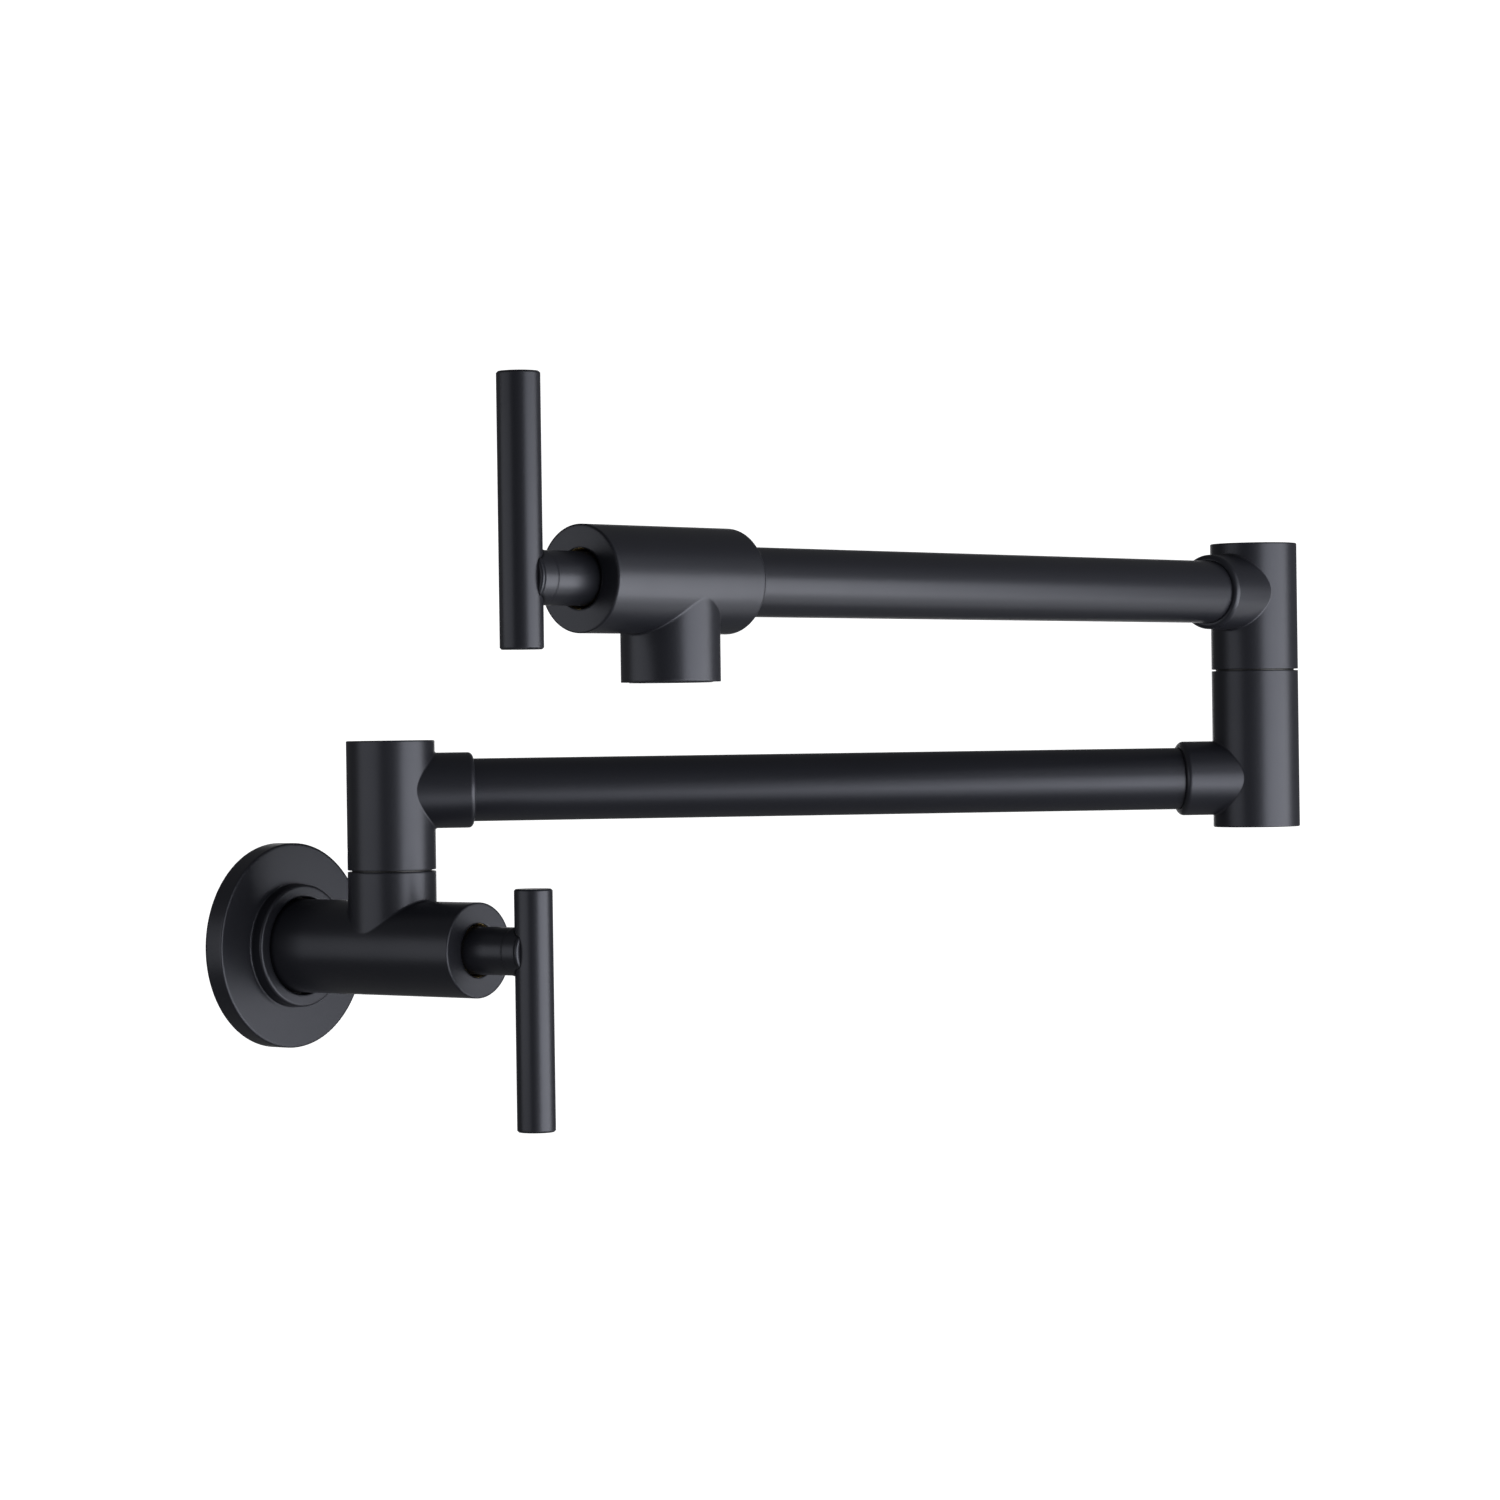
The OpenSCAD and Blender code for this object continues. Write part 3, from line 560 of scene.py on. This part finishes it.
def hub_lip(name, body, crossing, out, side):
    """The slice of a hub's round that stands out beside the bar, on one side."""
    places = [(LIP_START, 0.0)]
    for k in range(LIP_ROUND_RINGS + 1):
        turn = math.pi / 2 * k / LIP_ROUND_RINGS
        along = ROUND_START + (LIP_END - ROUND_START) * math.sin(turn)
        places.append((along, LIP_DEPTH * (1 - math.cos(turn))))
    rings = []
    for along, drawn_in in places:
        radius = LIP_RADIUS - drawn_in
        chord = math.sqrt(BAR_RADIUS ** 2 - along ** 2) - BAR_TOUCH
        half = math.acos(chord / radius)
        angles = [half * (2 * k / (LIP_ARC_POINTS - 1) - 1) for k in range(LIP_ARC_POINTS)]
        rings.append([
            crossing + along * out + radius * math.cos(angle) * side + radius * math.sin(angle) * UP
            for angle in angles
        ])
    piece_of_rings(name, body, "black_finish", rings, capped=True)


# %% [markdown]
# Both handles are alike, and each hub has a lip on the left and on the right of its bar. The bar's
# own box tells where the two cross, so the lips follow the bars.

# %% The four lips
for level, body, face, out in (
    ("lower", "lower_handle", wall_face, wall_out),
    ("upper", "upper_handle", spout_face, spout_out),
):
    crossing = bar_crossing(level + "_bar", face)
    across = UP.cross(out)
    hub_lip(level + "_left_lip", body, crossing, out, across)
    hub_lip(level + "_right_lip", body, crossing, out, -across)

# %% [markdown]
# Where a round boss grows out of a round barrel, the casting has a small hollow fillet, and under
# the lamps it draws a thin bright line. A bevel would change the solids, so the fillet is a piece
# of its own. Its exact shape is the track of a small ball that rolls round the corner and touches
# both barrels. Each ring of the mesh is the ball's arc between its two points of contact, closed
# by one point sunk in the metal. The ball touches a hair under both surfaces, so that the
# fillet's edges don't stand proud of them.

# %% A fillet between crossing barrels
BALL = 0.7 * MM
SINK = 0.3 * MM
FLUSH = 0.01 * MM
ARC_STEPS = 6
FILLET_RINGS = 96


def rolled_fillet(name, body, centre, trunk, branch, trunk_radius, branch_radius):
    """Fillet where a branch leaves a thicker trunk at a right angle."""
    side = trunk.cross(branch)
    big, small = trunk_radius - FLUSH, branch_radius - FLUSH
    rings = []
    for step in range(FILLET_RINGS):
        angle = 2 * math.pi * step / FILLET_RINGS
        y, z = (small + BALL) * math.cos(angle), (small + BALL) * math.sin(angle)
        x = math.sqrt((big + BALL) ** 2 - y ** 2)
        ball = Vector((x, y, z))
        to_branch = Vector((0, -math.cos(angle), -math.sin(angle)))
        to_trunk = Vector((-x, -y, 0)) / (big + BALL)
        arc = [ball + BALL * to_branch.slerp(to_trunk, k / ARC_STEPS) for k in range(ARC_STEPS + 1)]
        y, z = (small - SINK) * math.cos(angle), (small - SINK) * math.sin(angle)
        arc.append(Vector((math.sqrt((big - SINK) ** 2 - y ** 2), y, z)))
        rings.append([centre + p.x * branch + p.y * side + p.z * trunk for p in arc])
    piece_of_rings(name, body, "black_finish", rings)


# %% [markdown]
# There are five such corners: the riser on the wall valve, the three side bosses of the swivels,
# and the spout under its valve. In each, a rod leaves a thicker one at a right angle.

# %% The five fillets
SWIVEL_RADIUS = 14 * MM
BOSS_RADIUS = 12 * MM
BARREL_RADIUS = 15 * MM
riser_foot = Vector((wall_swivel.x, wall_swivel.y, wall_face.z))
elbow_low = Vector((elbow.x, elbow.y, wall_swivel.z))
rolled_fillet("riser_fillet", "wall_valve", riser_foot, wall_out, UP, BARREL_RADIUS, SWIVEL_RADIUS)
rolled_fillet("wall_boss_fillet", "lower_arm", wall_swivel, UP, along_lower, SWIVEL_RADIUS, BOSS_RADIUS)
rolled_fillet(
    "elbow_low_boss_fillet", "lower_arm", elbow_low, UP, -along_lower, SWIVEL_RADIUS, BOSS_RADIUS
)
rolled_fillet("elbow_top_boss_fillet", "upper_arm", elbow, UP, spout_out, SWIVEL_RADIUS, BOSS_RADIUS)
rolled_fillet("spout_fillet", "upper_arm", spout, spout_out, -UP, BARREL_RADIUS, SWIVEL_RADIUS)

# %% [markdown]
# The studio stands round the tap as seen from the camera. Matte black shows only what it mirrors,
# so the lamps' places are read from the highlights on the rods. Each soft lamp is given by how
# brightly it glows, because that is what the metal mirrors, and its power follows.

# %% Helpers for the studio
TAP_MIDDLE = (cad_low + cad_high) / 2
LAMP_TINT = (0.97, 0.98, 1.0)


def toward(bearing, distance, height=0.0):
    """A point at a bearing in degrees to the right of the camera, seen from the tap."""
    angle = math.radians(bearing) + CAMERA_TURN - math.pi / 2
    reach = Vector((math.cos(angle), math.sin(angle), 0)) * distance
    return TAP_MIDDLE + reach + Vector((0, 0, height))


def soft_lamp(name, place, width, height, glow):
    """A soft box that faces the tap and glows as brightly as a white card of strength glow."""
    lamp = bpy.data.lights.new(name, "AREA")
    lamp.shape = "RECTANGLE"
    lamp.size, lamp.size_y = width, height
    lamp.energy = glow * math.pi * width * height
    lamp.color = LAMP_TINT
    stand = bpy.data.objects.new(name, lamp)
    stand.location = place
    stand.rotation_euler = (TAP_MIDDLE - place).to_track_quat("-Z", "Y").to_euler()
    stand.visible_camera = False
    bpy.context.scene.collection.objects.link(stand)
    print(name, "power in watts:", round(lamp.energy, 1))


# %% [markdown]
# A broad strong lamp stands on the right with a weak one above it, a small one on the left, and
# two low panels throw light up from the front and the right. One big lamp would be simpler, but
# the rods show a bright line on the right, a fainter one on the left and light from below.

# %% Lamps
soft_lamp("right_lamp", toward(61, 0.84, height=-0.13), width=1.15, height=0.6, glow=4.5)
soft_lamp("high_right_lamp", toward(60, 1.17, height=0.6), width=1.35, height=0.6, glow=0.9)
soft_lamp("left_lamp", toward(-60, 0.66, height=-0.03), width=0.68, height=0.42, glow=1.15)
soft_lamp("low_front_lamp", toward(30, 1.14, height=-0.63), width=1.35, height=0.75, glow=1.3)
soft_lamp("low_right_lamp", toward(90, 1.14, height=-0.63), width=1.35, height=0.75, glow=1.1)

# %% [markdown]
# The air of the studio is an even dark grey, so that no side of the tap goes fully black. It is a
# touch bluer than the lamps.

# %% World
STUDIO_GREY = (0.104, 0.106, 0.111, 1)
world = bpy.data.worlds.new("studio air")
bpy.context.scene.world = world
world.use_nodes = True
air = world.node_tree.nodes["Background"]
air.inputs["Color"].default_value = STUDIO_GREY
air.inputs["Strength"].default_value = 1.0
print("studio grey:", STUDIO_GREY[:3])

# %% [markdown]
# The picture's ground is plain white. A white card far behind the tap gives that without any more
# light on the tap itself, and it stays narrow so that the black rods don't mirror it along their
# edges. The floor is pale and lies well under the tap, as a wall tap hangs over a hob. Both are
# plain sheets with a matte paint, which is faintly clouded, as a roller leaves it.

# %% Helpers for the floor and the card
PAINT_CLOUD = 0.2
PAINT_ROUGHNESS = 0.9
WHITE = (1, 1, 1, 1)


def flat_card(name, side, place, turn, paint):
    """A plain square sheet, upright before it is turned."""
    mesh = bpy.data.meshes.new(name)
    shape = bmesh.new()
    corners = [(x * side / 2, 0, z * side / 2) for x, z in ((-1, -1), (1, -1), (1, 1), (-1, 1))]
    shape.faces.new([shape.verts.new(corner) for corner in corners])
    shape.to_mesh(mesh)
    shape.free()
    mesh.materials.append(paint)
    card = bpy.data.objects.new(name, mesh)
    card.matrix_world = Matrix.Translation(place) @ turn
    bpy.context.scene.collection.objects.link(card)
    card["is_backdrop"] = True
    print(name, "side in m:", side)


def matte_paint(name, deep, pale, glow=0.0):
    paint = Finish(name)
    return paint.set(
        Base_Color=paint.blend(paint.noise(PAINT_CLOUD), deep, pale),
        Roughness=PAINT_ROUGHNESS,
        Emission_Color=WHITE,
        Emission_Strength=glow,
    )


# %% [markdown]
# The card glows by itself with a strength of 1, so it comes out plain white, however the lamps
# stand. It is opposite the camera and faces it. The floor has only the light of the studio.

# %% Floor and white card
CARD_PAINT = (0.80, 0.80, 0.80, 1), (0.82, 0.82, 0.82, 1)
CARD_BEARING = 180
CARD_DISTANCE = 3.0
CARD_SIDE = 1.7
FLOOR_PAINT = (0.79, 0.79, 0.78, 1), (0.81, 0.81, 0.80, 1)
FLOOR_DEPTH = 2.4
FLOOR_SIDE = 24
flat_card(
    "white_card", CARD_SIDE, toward(CARD_BEARING, CARD_DISTANCE), Matrix.Rotation(CAMERA_TURN, 4, "Z"),
    matte_paint("white card paint", *CARD_PAINT, glow=1.0),
)
flat_card(
    "floor", FLOOR_SIDE, TAP_MIDDLE - FLOOR_DEPTH * UP, Matrix.Rotation(math.pi / 2, 4, "X"),
    matte_paint("floor paint", *FLOOR_PAINT),
)

# %% [markdown]
# The Standard view shows colours as they are written, so a white of 1 is the paper's white. The
# box of the dressed tap is written beside the box of the bare solids, to see that the fillets,
# lips and threads haven't made it any bigger.

# %% View setting, sizes and the end
bpy.context.scene.view_settings.view_transform = "Standard"

low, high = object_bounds()
grown = [round(s / MM, 2) for s in list(cad_low - low) + list(high - cad_high)]
print("grown by mm, low side then high side:", grown)
